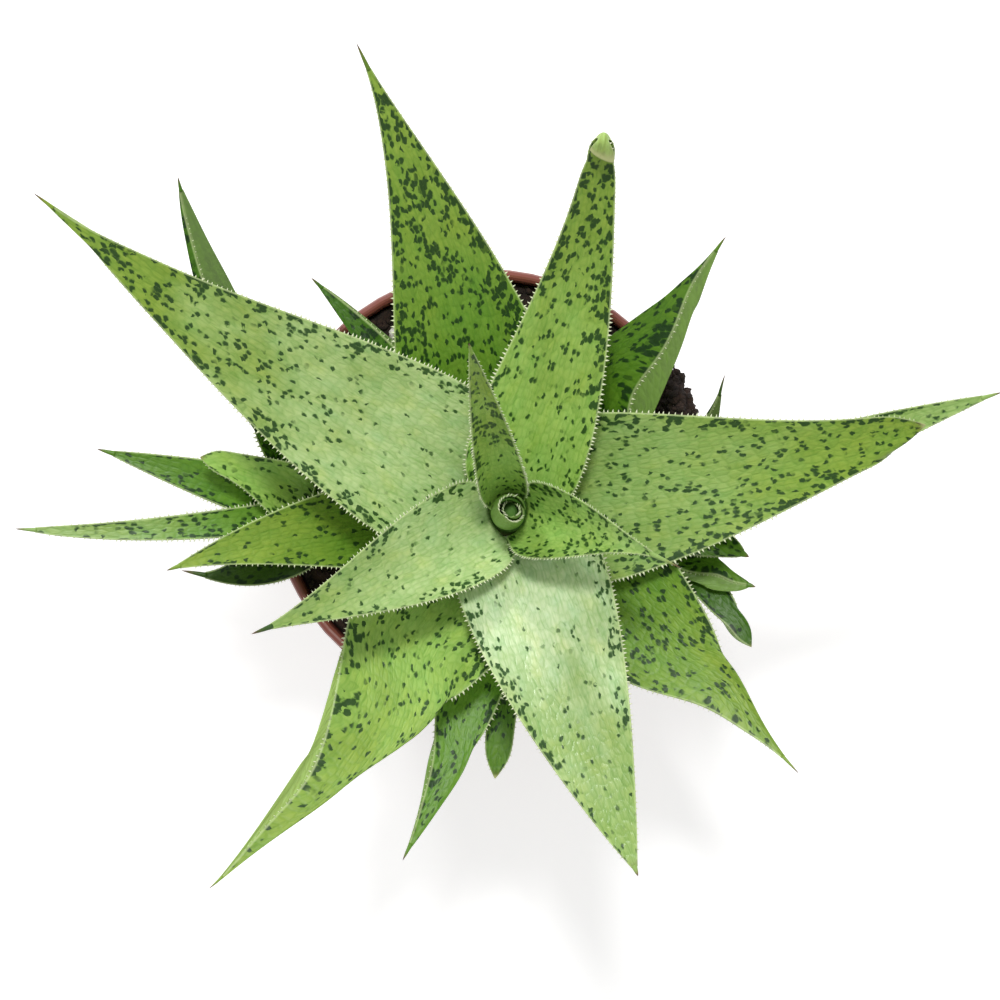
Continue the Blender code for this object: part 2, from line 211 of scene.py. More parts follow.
def curled_back(fine, tip, radius, flap, slant):
    """The leaf carried on from its last station to `tip`, where its end folds up and back in a rounded hood.

    The folded end is `flap` long in the middle, and longer by `slant` on one side than on the other.
    """
    centre = len(fine.share) // 2
    middle = fine.upper[-1, centre]
    ahead = unit(tip - middle)
    side = fine.upper[-1, -1] - fine.upper[-1, 0]
    side = unit(side - ahead * (side @ ahead))
    up = np.cross(side, ahead)
    if (fine.upper[-1] - fine.lower[-1]).mean(0) @ up < 0.0:
        up = -up
    axes = np.array([ahead, side, up])
    upper = (fine.upper[-1] - middle) @ axes.T
    lower = (fine.lower[-1] - middle) @ axes.T
    straight = float(np.linalg.norm(tip - middle)) - radius
    bend = math.radians(172)
    arc = bend * radius
    folded = flap * (1.0 + slant * fine.share)
    steps = [(d, 0.0) for d in np.linspace(0.0, straight + arc, 34)[1:]]
    steps += [(straight + arc, f) for f in np.linspace(0.0, 1.0, 16)[1:]]
    uppers, lowers, alongs = [], [], []
    for d, f in steps:
        turn = float(np.clip((d - straight) / radius, 0.0, bend))
        rest = folded * f
        forward = min(d, straight) + radius * math.sin(turn) + rest * math.cos(turn)
        rise = radius * (1.0 - math.cos(turn)) + rest * math.sin(turn)
        narrow = 1.0 - 0.60 * np.clip(forward / (straight + radius), 0.0, 1.0) ** 4
        flat = 1.0 - 0.45 * min(1.0, turn / bend)
        for shape, out in ((upper, uppers), (lower, lowers)):
            depth = shape[:, 2] * (0.75 * flat if shape is lower else flat)
            out.append(
                middle
                + (forward - math.sin(turn) * depth)[:, None] * ahead
                + (shape[:, 1] * narrow)[:, None] * side
                + (rise + math.cos(turn) * depth)[:, None] * up
            )
        alongs.append(fine.along[-1] + d + flap * f)
    along = np.concatenate([fine.along, alongs])
    upper, lower = np.concatenate([fine.upper, uppers]), np.concatenate([fine.lower, lowers])
    return Fine(upper, lower, fine.share, along, along[-1])


def margin_rolled(fine, run, turn, hinge):
    """The margin past `hinge` rolled up and over on the last `run` of the leaf."""
    upper, lower = fine.upper.copy(), fine.lower.copy()
    first = int(np.argmin(np.abs(fine.share - hinge)))
    last = len(fine.share) - 1
    for i, along in enumerate(fine.along):
        ramp = np.clip((along - (fine.length - run)) / (0.7 * run), 0.0, 1.0)
        ramp = ramp * ramp * (3.0 - 2.0 * ramp)
        if ramp == 0.0:
            continue
        axis = unit(fine.upper[min(i + 1, len(fine.along) - 1), first] - fine.upper[i - 1, first])
        pivot = fine.upper[i, first]
        for j in range(first + 1, last + 1):
            angle = turn * ramp * min(1.0, 1.5 * (j - first) / (last - first))
            cosine, sine = math.cos(angle), math.sin(angle)
            for grid in (upper, lower):
                arm = grid[i, j] - pivot
                grid[i, j] = (
                    pivot + arm * cosine + np.cross(axis, arm) * sine + axis * (axis @ arm) * (1 - cosine)
                )
    return Fine(upper, lower, fine.share, fine.along, fine.length)


def scroll_leaf(base, top, radius, thick, facing, opening, across=41, rows=46):
    """A young leaf still rolled round the heart of the rosette: it opens on the side away from `facing`."""
    base, top = np.array(base), np.array(top)
    length = float(np.linalg.norm(top - base))
    share = np.linspace(-1.0, 1.0, across)
    uppers, lowers = [], []
    for t in np.linspace(0.0, 1.0, rows):
        wide = radius * (1.0 - 0.15 * t**1.5)
        half = math.pi * max(0.03, 1.08 - 1.02 * t**opening)
        centre = base + (top - base) * t
        inner, outer = [], []
        for u in share:
            turn = facing + u * half
            spiral = wide * (1.0 - 0.10 * (u + 1.0))
            ray = np.array([math.cos(turn), math.sin(turn), 0.0])
            place = centre + spiral * ray
            inner.append(place)
            outer.append(place + thick * (1.0 - 0.7 * u * u) * (1.0 - 0.6 * t**3) * ray)
        uppers.append(inner[::-1])
        lowers.append(outer[::-1])
    along = np.linspace(0.0, length, rows)
    return Fine(np.array(uppers), np.array(lowers), share, along, length)


class Pieces:
    """Collects points, faces and per-point facts of one mesh."""

    def __init__(self):
        self.points, self.faces, self.place, self.kind = [], [], [], []
        self.count = 0

    def add(self, points, faces, place, kind):
        points = np.asarray(points, float).reshape(-1, 3)
        self.points.append(points)
        self.faces += [tuple(int(v) + self.count for v in face) for face in faces]
        self.place.append(np.broadcast_to(np.asarray(place, float), points.shape))
        self.kind.append(np.broadcast_to(np.asarray(kind, float), points.shape))
        self.count += len(points)

    def build(self, name):
        mesh = bpy.data.meshes.new(name)
        mesh.from_pydata(np.concatenate(self.points).tolist(), [], self.faces)
        for label, parts in (("leaf_place", self.place), ("leaf_kind", self.kind)):
            layer = mesh.attributes.new(label, "FLOAT_VECTOR", "POINT")
            layer.data.foreach_set("vector", np.concatenate(parts).astype(np.float32).ravel())
        mesh.polygons.foreach_set("use_smooth", [True] * len(mesh.polygons))
        mesh.update()
        ob = bpy.data.objects.new(name, mesh)
        home.objects.link(ob)
        return ob


def leaf_body(pieces, fine, seed, edge=0.34 * MM):
    """The leaf's skin as one closed tube of sections, with a rounded margin of the given thickness."""
    normal = grid_normals(fine.upper)
    taper = np.clip(1.0 - (fine.along / fine.length) ** 6, 0.30, 1.0)
    width = np.linalg.norm(fine.upper[:, 0] - fine.upper[:, -1], axis=1)
    rim = np.minimum(edge * taper, 0.18 * width)[:, None, None]
    outward = unit(fine.upper[:, -1] - fine.upper[:, -2])
    inward = unit(fine.upper[:, 0] - fine.upper[:, 1])
    lower = fine.lower - normal * rim
    left = fine.upper[:, -1] - 0.5 * rim[:, 0] * (normal[:, -1] - 1.1 * outward)
    right = fine.upper[:, 0] - 0.5 * rim[:, 0] * (normal[:, 0] - 1.1 * inward)
    section = np.concatenate(
        [right[:, None], fine.upper, left[:, None], lower[:, ::-1]], axis=1
    )
    across = len(fine.share)
    share = np.concatenate([[-1.02], fine.share, [1.02], fine.share[::-1]])
    side = np.concatenate([[0.5], np.ones(across), [0.5], np.zeros(across)])
    rows, columns = section.shape[:2]
    half = 0.5 * np.linalg.norm(np.diff(fine.upper, axis=1), axis=2).sum(1)
    place = np.empty(section.shape)
    place[..., 0] = share[None] * half[:, None] / MM
    place[..., 1] = fine.along[:, None] / MM
    place[..., 2] = seed
    kind = np.empty(section.shape)
    kind[..., 0] = np.abs(share)[None]
    kind[..., 1] = (fine.along / fine.length)[:, None]
    kind[..., 2] = side[None]
    faces = []
    for i in range(rows - 1):
        for j in range(columns):
            k = (j + 1) % columns
            a, b = i * columns + j, i * columns + k
            faces.append((a, b, b + columns, a + columns))
    faces.append(tuple(range(columns))[::-1])
    faces.append(tuple(range((rows - 1) * columns, rows * columns)))
    pieces.add(section, faces, place.reshape(-1, 3), kind.reshape(-1, 3))


def tooth(pieces, root, along, outward, normal, size, place, kind):
    """A small curved thorn, swept towards the leaf's tip."""
    ring = [
        root - 0.34 * size * along - 0.15 * size * outward,
        root + 0.20 * size * normal,
        root + 0.40 * size * along - 0.10 * size * outward,
        root - 0.20 * size * normal,
    ]
    neck = [p + 0.50 * size * outward + 0.06 * size * along for p in ring]
    middle = sum(neck) / 4.0
    neck = [middle + 0.55 * (p - middle) for p in neck]
    point = root + size * outward + 0.24 * size * along
    faces = [(3, 2, 1, 0)]
    for i in range(4):
        j = (i + 1) % 4
        faces.append((i, j, j + 4, i + 4))
        faces.append((i + 4, j + 4, 8))
    pieces.add([*ring, *neck, point], faces, place, kind)


def leaf_teeth(pieces, fine, seed, spacing, size):
    """Teeth along both margins, sparser and smaller towards the tip."""
    normal = grid_normals(fine.upper)
    for edge, inside in ((0, 1), (-1, -2)):
        line = fine.upper[:, edge]
        out = unit(line - fine.upper[:, inside])
        steps = np.linalg.norm(np.diff(line, axis=0), axis=1)
        run = np.concatenate([[0.0], np.cumsum(steps)])
        at = 0.05 * run[-1]
        while at < 0.965 * run[-1]:
            t = at / run[-1]
            i = int(np.searchsorted(run, at)) - 1
            f = (at - run[i]) / max(steps[i], 1e-9)
            root = (1 - f) * line[i] + f * line[i + 1]
            along = unit(line[i + 1] - line[i])
            outward = unit(out[i] - along * (out[i] @ along))
            up = unit(normal[i, edge] - outward * (normal[i, edge] @ outward))
            grow = size * (0.55 + 0.45 * math.sin(math.pi * min(1.0, 0.15 + t) ** 0.8))
            grow *= rng.uniform(0.75, 1.2)
            place = (8.0, at / MM, seed)
            tooth(pieces, root - 0.2 * MM * up, along, outward, up, grow, place, (1.0, t, 2.0))
            at += spacing * rng.uniform(0.75, 1.3) * (0.85 + 0.5 * t)


def rim_thorns(pieces, fine, seed, spacing=1.7 * MM, size=1.25 * MM):
    """Pale thorns along both margins of a rolled leaf, leaning out and up."""
    for edge, inside in ((0, 1), (-1, -2)):
        line = fine.upper[:, edge]
        run = np.concatenate([[0.0], np.cumsum(np.linalg.norm(np.diff(line, axis=0), axis=1))])
        at = 0.45 * run[-1]
        while at < 0.97 * run[-1]:
            i = int(np.searchsorted(run, at)) - 1
            along = unit(line[i + 1] - line[i])
            radial = line[i] - fine.upper[i].mean(0)
            radial[2] = 0.0
            outward = unit(line[i] - fine.upper[i, inside]) + 0.9 * unit(radial) + np.array([0.0, 0.0, 0.3])
            outward = unit(outward - along * (outward @ along))
            up = np.cross(along, outward)
            grow = size * rng.uniform(0.7, 1.2)
            tooth(pieces, line[i], along, outward, up, grow, (8.0, at / MM, seed), (1.0, 0.5, 2.0))
            at += spacing * rng.uniform(0.7, 1.3)


def tip_cut(fine, width=1.25 * MM):
    """The leaf up to where it narrows to the given width, and the point where it ended."""
    across = np.linalg.norm(np.diff(fine.upper, axis=1), axis=2).sum(1)
    last = int(np.nonzero(across > width)[0].max()) + 1
    last = min(last, len(fine.along) - 1)
    end = fine.upper[-1].mean(0)
    return fine._replace(upper=fine.upper[:last], lower=fine.lower[:last], along=fine.along[:last]), end


def leaf_point(pieces, fine, seed, end, extra, curl):
    """The end of a leaf, drawn out into its dry bristle: a thin bent cone that goes `extra` past `end`."""
    start = 0.5 * (fine.upper[-1].mean(0) + fine.lower[-1].mean(0))
    ahead = unit(end - start)
    length = float(np.linalg.norm(end - start)) + extra
    side = unit(fine.upper[-1, -1] - fine.upper[-1, 0])
    side = unit(side - ahead * (side @ ahead))
    lift = np.cross(side, ahead)
    lift = lift if lift[2] > 0.0 else -lift
    last = np.concatenate([fine.upper[-1], fine.lower[-1]]) - start
    half = float(np.abs(last @ side).max())
    high = max(0.42 * MM, float(np.abs(last @ lift).max()))
    rows, columns = 12, 10
    points, kinds = [], []
    for i in range(rows):
        s = i / rows
        middle = start + (length * s - 0.4 * MM * (1.0 - s)) * ahead + curl * s * s * lift
        wide = half * (1.0 - 0.72 * s) * (1.0 - s**6)
        deep = high * (1.0 - 0.72 * s) * (1.0 - s**6)
        for j in range(columns):
            turn = 2.0 * math.pi * j / columns
            points.append(middle + wide * math.cos(turn) * side + deep * math.sin(turn) * lift)
            kinds.append((0.5, 0.94 + 0.06 * s + 0.20 * max(0.0, s - 0.5), 1.0))
    points.append(start + length * ahead + curl * lift)
    kinds.append((0.5, 1.2, 1.0))
    faces = []
    for i in range(rows - 1):
        for j in range(columns):
            k = (j + 1) % columns
            faces.append((i * columns + j, i * columns + k, (i + 1) * columns + k, (i + 1) * columns + j))
    for j in range(columns):
        faces.append(((rows - 1) * columns + j, (rows - 1) * columns + (j + 1) % columns, len(points) - 1))
    faces.append(tuple(range(columns))[::-1])
    pieces.add(points, faces, (1.0, fine.length / MM, seed), kinds)


# ---------------------------------------------------------------- materials


class Nodes:
    """Short names for building a shader tree."""

    def __init__(self, name):
        self.material = bpy.data.materials.new(name)
        self.material.use_nodes = True
        self.tree = self.material.node_tree
        self.shader = self.tree.nodes["Principled BSDF"]

    def put(self, socket, value):
        if isinstance(value, bpy.types.NodeSocket):
            self.tree.links.new(value, socket)
        elif value is not None:
            socket.default_value = value

    def attribute(self, name):
        node = self.tree.nodes.new("ShaderNodeAttribute")
        node.attribute_name = name
        return node.outputs["Vector"]

    def split(self, vector):
        node = self.tree.nodes.new("ShaderNodeSeparateXYZ")
        self.put(node.inputs[0], vector)
        return node.outputs

    def join(self, x, y, z=0.0):
        node = self.tree.nodes.new("ShaderNodeCombineXYZ")
        for socket, value in zip(node.inputs, (x, y, z)):
            self.put(socket, value)
        return node.outputs[0]

    def math(self, what, a, b=None):
        node = self.tree.nodes.new("ShaderNodeMath")
        node.operation = what
        self.put(node.inputs[0], a)
        self.put(node.inputs[1], b)
        return node.outputs[0]

    def step(self, value, low, high, to_low=0.0, to_high=1.0):
        """to_low below low, to_high above high, smooth between."""
        node = self.tree.nodes.new("ShaderNodeMapRange")
        node.interpolation_type = "SMOOTHSTEP"
        self.put(node.inputs["Value"], value)
        self.put(node.inputs["From Min"], low)
        self.put(node.inputs["From Max"], high)
        self.put(node.inputs["To Min"], to_low)
        self.put(node.inputs["To Max"], to_high)
        return node.outputs[0]

    def noise(self, vector, scale, detail=2.0, rough=0.5):
        node = self.tree.nodes.new("ShaderNodeTexNoise")
        self.put(node.inputs["Vector"], vector)
        self.put(node.inputs["Scale"], scale)
        self.put(node.inputs["Detail"], detail)
        self.put(node.inputs["Roughness"], rough)
        return node.outputs["Fac"]

    def cells(self, vector, scale, feature="DISTANCE_TO_EDGE", randomness=1.0):
        node = self.tree.nodes.new("ShaderNodeTexVoronoi")
        node.voronoi_dimensions = "2D"
        node.feature = feature
        self.put(node.inputs["Vector"], vector)
        self.put(node.inputs["Scale"], scale)
        self.put(node.inputs["Randomness"], randomness)
        return node.outputs

    def blend(self, share, a, b, how="MIX"):
        node = self.tree.nodes.new("ShaderNodeMix")
        node.data_type = "RGBA"
        node.blend_type = how
        self.put(node.inputs["Factor"], share)
        self.put(node.inputs[6], colour(a))
        self.put(node.inputs[7], colour(b))
        return node.outputs[2]

    def tinted(self, share, body, tint):
        """body, with `share` of it multiplied by a tint."""
        return self.blend(share, body, self.blend(1.0, body, tint, "MULTIPLY"))

    def place(self):
        return self.tree.nodes.new("ShaderNodeTexCoord").outputs["Object"]

    def finish(self, body, rough, relief, strength, distance):
        """Colour, roughness and bump of the surface."""
        node = self.tree.nodes.new("ShaderNodeBump")
        self.put(node.inputs["Height"], relief)
        self.put(node.inputs["Strength"], strength)
        self.put(node.inputs["Distance"], distance)
        self.put(self.shader.inputs["Base Color"], body)
        self.put(self.shader.inputs["Roughness"], rough)
        self.put(self.shader.inputs["Normal"], node.outputs[0])
        return self.material


def colour(value):
    if isinstance(value, tuple) and len(value) == 3:
        return (*value, 1.0)
    return value


def srgb(r, g, b):
    """Linear colour from 0 to 255 display values."""
    out = []
    for v in (r, g, b):
        v /= 255.0
        out.append(v / 12.92 if v <= 0.04045 else ((v + 0.055) / 1.055) ** 2.4)
    return tuple(out)


class Look(NamedTuple):
    """How one leaf differs from the others: its ground colour near the stem and the tip, which holds painted
    shade on the low leaves and painted light on the pale bases of others, and its marks.
    """

    near: tuple
    far: tuple
    flecks_near: float = 0.20  # share of the skin's small cells that are dark, near the stem
    flecks_far: float = 0.30
    brown: float = 0.4  # how brown the tip is
    gloss: float = 0.40  # roughness of the skin
    end: tuple = (112, 88, 54)  # colour of a dry or cut end


# the greens of the skin, with painted shade and light in them, from the palest to the darkest
FROST = (206, 224, 180)
SILVER = (184, 208, 144)
SAGE = (154, 190, 94)
SOFT = (140, 168, 94)
FRESH = (126, 154, 56)
LEAF = (100, 144, 42)
MOSS = (84, 124, 28)
SHADE = (64, 104, 18)
DEEP = (52, 82, 14)

PALE_END = (176, 180, 124)  # the dry end of a leaf that lost its tip
DULL_END = (136, 136, 76)

# Each leaf's greens follow how bright it looks where it stands. The SHADE and DEEP greens of the low leaves
# under the rosette are partly their own darker skin and partly painted shade. The pale bases of leaf_south
# and the inner leaves hold painted light that makes up for the shade cast on them.
LOOKS = {
    "heart_leaf": Look(LEAF, LEAF, 0.08, 0.10, 0.0),
    "inner_leaf_north": Look(SAGE, FRESH, 0.16, 0.36),
    "inner_leaf_east": Look(SAGE, SOFT, 0.20, 0.26),
    "inner_leaf_west": Look(SILVER, SOFT, 0.05, 0.12),
    "leaf_south": Look(FROST, SOFT, 0.03, 0.07, 0.5, 0.24),
    "leaf_north": Look(SAGE, FRESH, 0.10, 0.42, 0.3, end=PALE_END),
    "leaf_west": Look(SILVER, FRESH, 0.05, 0.34, 0.8),
    "leaf_east": Look(SOFT, FRESH, 0.18, 0.32, 0.6, end=PALE_END),
    "leaf_north_northwest": Look(LEAF, FRESH, 0.24, 0.46),
    "leaf_southwest": Look(SAGE, FRESH, 0.18, 0.10),
    "leaf_southeast": Look(LEAF, FRESH, 0.26, 0.16),
    "leaf_northeast": Look(MOSS, MOSS, 0.22, 0.40),
    "leaf_south_southwest": Look(LEAF, LEAF, 0.26, 0.20),
    "cut_leaf_south": Look(MOSS, MOSS, 0.34, 0.30, 0.6, end=PALE_END),
    "leaf_west_low": Look(MOSS, FRESH, 0.22, 0.10),
    "leaf_northwest_low": Look(SHADE, SHADE, 0.30, 0.30),
    "west_offset_heart_leaf": Look(MOSS, MOSS, 0.20, 0.20),
    "west_offset_leaf_1": Look(LEAF, SOFT, 0.22, 0.14),
    "west_offset_leaf_2": Look(LEAF, MOSS, 0.34, 0.14),
    "west_offset_leaf_3": Look(SAGE, SAGE, 0.30, 0.12, 0.7, end=DULL_END),
    "west_offset_leaf_4": Look(SHADE, SHADE, 0.30, 0.34),
    "west_offset_leaf_5": Look(DEEP, DEEP, 0.26, 0.26),
    "east_offset_heart_leaf": Look(MOSS, MOSS, 0.20, 0.20),
    "east_offset_leaf_1": Look(DEEP, DEEP, 0.16, 0.16),
    "east_offset_leaf_2": Look(LEAF, SOFT, 0.28, 0.20),
    "east_offset_leaf_3": Look(LEAF, LEAF, 0.24, 0.24),
    "east_offset_leaf_4": Look(LEAF, MOSS, 0.30, 0.14),
    "east_offset_leaf_5": Look(SHADE, SHADE, 0.14, 0.14, 0.3, end=DULL_END),
}

# leaves whose end is dry or cut, with no bristle
BLUNT = ("cut_leaf_south", "leaf_north", "leaf_east", "west_offset_leaf_3", "east_offset_leaf_5")
FLECK = srgb(6, 38, 8)
MARGIN = srgb(186, 204, 142)
TOOTH = srgb(222, 228, 192)
BROWN = srgb(112, 88, 54)
BRISTLE = srgb(92, 66, 46)
ROW_WIDTH = 1.40  # mm between the lengthwise rows of pale cells
CELL_LENGTH = 3.0  # mm from joint to joint along a row
FLECK_WIDTH = 1.10  # mm between the places across the leaf where a fleck can be
FLECK_LENGTH = 1.90  # mm between them along the leaf
SEED_SHIFT = 37.0  # mm in the pattern from one leaf to the next
SKIN_SPECULAR = 0.34

# what the skin's colour is multiplied by
YELLOWER = (1.12, 1.0, 0.62)
COOLER = (0.78, 0.98, 1.05)
PALE_CELL = (1.30, 1.22, 1.30)
DARK_CELL = (0.66, 0.80, 0.60)
CELL_EDGE = (0.46, 0.66, 0.36)
PALE_LINE = (1.30, 1.20, 1.35)
DARK_LINE = (0.52, 0.72, 0.42)
HALO = (0.46, 0.66, 0.40)
UNDER_FLECK = (0.12, 0.28, 0.12)

UNDERSIDE = (0.60, 0.66, 0.34)  # linear colour mixed into the underside
LIP_FROM, LIP_TO = 0.1015, 0.1035  # heights over which the pot's lip is painted paler pink, a painted highlight
GREEN_FROM, GREEN_TO = 0.106, 0.124  # heights over which a stem turns from bark to green


def leaf_material(name, look):
    n = Nodes(name)
    x, y, seed = n.split(n.attribute("leaf_place"))[:3]
    edge, along, side = n.split(n.attribute("leaf_kind"))[:3]
    near, far = srgb(*look.near), srgb(*look.far)
    shift = n.math("MULTIPLY", seed, SEED_SHIFT)
    beyond = n.math("SUBTRACT", n.math("DIVIDE", 1.0, n.math("MAXIMUM", edge, 0.02)), 1.0)
    inset = n.math("MULTIPLY", n.math("ABSOLUTE", x), beyond)  # mm in from the margin

    # ground colour from near to far, with the painted shade and light of the leaf's greens, in broad clouds
    # of greener and yellower skin
    cloud = n.noise(n.join(x, n.math("MULTIPLY", y, 0.45), shift), 0.10, 3.0)
    reach = n.math("ADD", along, n.math("MULTIPLY", n.math("SUBTRACT", cloud, 0.5), 0.7))
    body = n.blend(n.step(reach, 0.08, 0.85), near, far)
    warm = n.noise(n.join(x, n.math("MULTIPLY", y, 0.5), n.math("ADD", shift, 5.0)), 0.22, 3.0)
    body = n.tinted(n.step(warm, 0.48, 0.75, 0.0, 0.35), body, YELLOWER)
    body = n.tinted(n.step(warm, 0.50, 0.25, 0.0, 0.35), body, COOLER)

    # lengthwise rows of rounded cells
    wander = n.noise(n.join(x, n.math("MULTIPLY", y, 0.5), shift), 0.34, 2.0)
    wobble = n.math("MULTIPLY", n.math("SUBTRACT", wander, 0.5), 1.3)
    across = n.math("ADD", n.math("ADD", x, wobble), shift)
    down = n.math("ADD", y, wobble)
    net = n.join(n.math("DIVIDE", across, ROW_WIDTH), n.math("DIVIDE", down, CELL_LENGTH))
    gap = n.cells(net, 1.0, randomness=0.72)["Distance"]
    tint = n.split(n.cells(net, 1.0, feature="F1", randomness=0.72)["Color"])[0]
    body = n.tinted(n.step(tint, 0.3, 1.0, 0.0, 0.30), body, PALE_CELL)
    body = n.tinted(n.step(tint, 0.5, 0.0, 0.0, 0.35), body, DARK_CELL)
    body = n.tinted(n.step(gap, 0.02, 0.34, 0.24, 0.0), body, CELL_EDGE)

    # fine lengthwise lines
    streak = n.join(n.math("MULTIPLY", across, 1.9), n.math("MULTIPLY", y, 0.09), shift)
    lines = n.noise(streak, 1.0, 3.0, 0.62)
    body = n.tinted(n.step(lines, 0.52, 0.70, 0.0, 0.34), body, PALE_LINE)
    body = n.tinted(n.step(lines, 0.48, 0.32, 0.0, 0.42), body, DARK_LINE)

    # flecks: small dark green blobs and bars, closer towards the margins and the tip
    patch = n.noise(n.join(across, n.math("MULTIPLY", y, 0.7), shift), 0.9, 2.0, 0.55)
    broad = n.noise(n.join(x, n.math("MULTIPLY", y, 0.6), n.math("ADD", shift, 9.0)), 0.16, 2.0)
    ragged = n.math("MULTIPLY", n.math("SUBTRACT", patch, 0.5), 1.5)
    spots = n.cells(
        n.join(
            n.math("DIVIDE", n.math("ADD", across, ragged), FLECK_WIDTH),
            n.math("DIVIDE", n.math("ADD", n.math("ADD", y, ragged), shift), FLECK_LENGTH),
        ),
        1.0,
        feature="F1",
    )
    rich = n.step(reach, 0.10, 0.90, look.flecks_near, look.flecks_far)
    rich = n.math("ADD", rich, n.step(edge, 0.60, 0.98, 0.0, 0.40))
    rich = n.math("MINIMUM", n.math("MULTIPLY", rich, n.step(broad, 0.30, 0.70, 0.40, 1.70)), 0.66)
    chosen = n.step(n.math("SUBTRACT", rich, n.split(spots["Color"])[0]), -0.05, 0.05)
    size = n.math("ADD", n.math("MULTIPLY", patch, 0.42), 0.16)
    size = n.math("ADD", n.math("MULTIPLY", rich, 0.36), size)
    within = n.math("SUBTRACT", size, spots["Distance"])
    fleck = n.math("MULTIPLY", chosen, n.step(within, -0.16, 0.16))
    halo = n.math("MULTIPLY", chosen, n.step(within, -0.34, 0.04, 0.0, 0.36))
    mark = n.blend(0.70, n.blend(1.0, body, UNDER_FLECK, "MULTIPLY"), FLECK)
    body = n.tinted(halo, body, HALO)
    body = n.blend(n.math("MULTIPLY", fleck, 0.94), body, mark)

    # underside: plainer and paler
    under = n.blend(n.step(lines, 0.35, 0.7), near, far)
    under = n.blend(0.16, under, UNDERSIDE)
    body = n.blend(n.step(side, 0.8, 0.2, 0.0, 0.80), body, under)

    # margin, teeth and tip
    rim = n.step(inset, 0.34, 0.08, 0.0, 0.55)
    rim = n.math("MULTIPLY", rim, n.step(side, 0.3, 0.7, 0.5, 1.0))
    body = n.blend(rim, body, MARGIN)
    body = n.blend(n.step(side, 1.2, 1.8), body, TOOTH)
    dry = n.step(along, 0.95, 1.0, 0.0, look.brown)
    dry = n.math("MULTIPLY", dry, n.step(patch, 0.30, 0.55, 0.5, 1.0))
    body = n.blend(dry, body, BROWN)
    if name.removesuffix("_skin") in BLUNT:
        body = n.blend(n.step(along, 0.975, 0.995, 0.0, 0.9), body, srgb(*look.end))
    body = n.blend(n.step(along, 1.01, 1.06), body, BRISTLE)

    rough = n.math("ADD", n.math("MULTIPLY", lines, 0.24), n.math("MULTIPLY", fleck, 0.06))
    rough = n.math("ADD", rough, look.gloss - 0.10)
    n.put(n.shader.inputs["Specular IOR Level"], SKIN_SPECULAR)
    cushion = n.math("MULTIPLY", n.step(gap, 0.0, 0.34), 0.45)
    relief = n.math("ADD", n.math("MULTIPLY", lines, 0.7), cushion)
    return n.finish(body, rough, relief, 0.5, 0.28 * MM)


def pot_material():
    n = Nodes("pot_plastic")
    where = n.place()
    x, y, z = n.split(where)[:3]
    cloud = n.noise(where, 30.0, 4.0)
    body = n.blend(n.step(cloud, 0.3, 0.7), srgb(98, 41, 32), srgb(116, 52, 41))
    scuff = n.noise(n.join(x, y, n.math("MULTIPLY", z, 7.0)), 160.0, 4.0, 0.6)
    body = n.blend(n.step(scuff, 0.62, 0.8, 0.0, 0.35), body, srgb(184, 124, 108))
    speck = n.noise(where, 420.0, 2.0)
    body = n.blend(n.step(speck, 0.66, 0.74, 0.0, 0.5), body, srgb(82, 44, 34))
    # painted highlight: the lip is blended towards a pale pink
    rim = n.step(z, LIP_FROM, LIP_TO)
    body = n.blend(n.math("MULTIPLY", rim, 0.16), body, srgb(190, 128, 116))
    rings = n.noise(n.join(0.0, 0.0, z), 900.0, 2.0)
    relief = n.math("ADD", n.math("MULTIPLY", rings, 0.4), n.math("MULTIPLY", cloud, 0.6))
    return n.finish(body, n.step(scuff, 0.3, 0.8, 0.28, 0.48), relief, 0.25, 0.15 * MM)


def soil_material():
    n = Nodes("potting_soil")
    where = n.place()
    coarse = n.noise(where, 260.0, 5.0, 0.65)
    fine = n.noise(where, 1500.0, 3.0, 0.6)
    body = n.blend(n.step(coarse, 0.35, 0.7), srgb(22, 14, 11), srgb(52, 34, 25))
    body = n.blend(n.step(fine, 0.58, 0.78, 0.0, 0.5), body, srgb(88, 62, 46))
    relief = n.math("ADD", coarse, n.math("MULTIPLY", fine, 0.5))
    return n.finish(body, 0.95, relief, 0.8, 0.8 * MM)


def grain_material():
    n = Nodes("perlite")
    where = n.place()
    pits = n.noise(where, 900.0, 3.0)
    body = n.blend(n.step(pits, 0.35, 0.65), srgb(176, 168, 156), srgb(232, 230, 224))
    return n.finish(body, 0.85, pits, 0.6, 0.3 * MM)


def stem_material():
    n = Nodes("stem")
    where = n.place()
    x, y, z = n.split(where)[:3]
    bark = n.noise(n.join(x, y, n.math("MULTIPLY", z, 3.0)), 220.0, 4.0, 0.6)
    body = n.blend(n.step(bark, 0.3, 0.7), srgb(96, 84, 48), srgb(146, 140, 86))
    young = n.blend(n.step(bark, 0.3, 0.7), srgb(52, 92, 26), srgb(84, 130, 44))
    body = n.blend(n.step(z, GREEN_FROM, GREEN_TO), body, young)
    return n.finish(body, 0.75, bark, 0.6, 0.5 * MM)


def floor_material():
    n = Nodes("floor")
    where = n.place()
    grain = n.noise(where, 3.0, 2.0)
    body = n.blend(n.step(grain, 0.3, 0.7), (0.86, 0.86, 0.86), (0.90, 0.90, 0.90))
    n.put(n.shader.inputs["Base Color"], body)
    n.put(n.shader.inputs["Roughness"], 0.9)
    n.put(n.shader.inputs["Emission Color"], (1.0, 1.0, 1.0, 1.0))
    n.put(n.shader.inputs["Emission Strength"], 0.40)
    return n.material


# ---------------------------------------------------------------- leaves

slots = {part["node"]: part["material_slot"] for part in frame["record"]["subparts"]}
leaf_names = [name for name in frame["nodes"] if slots[name].startswith("leaf")]
THINNED = {"leaf_southeast": 0.6, "leaf_southwest": 0.7}  # share of the CAD thickness kept in the looks

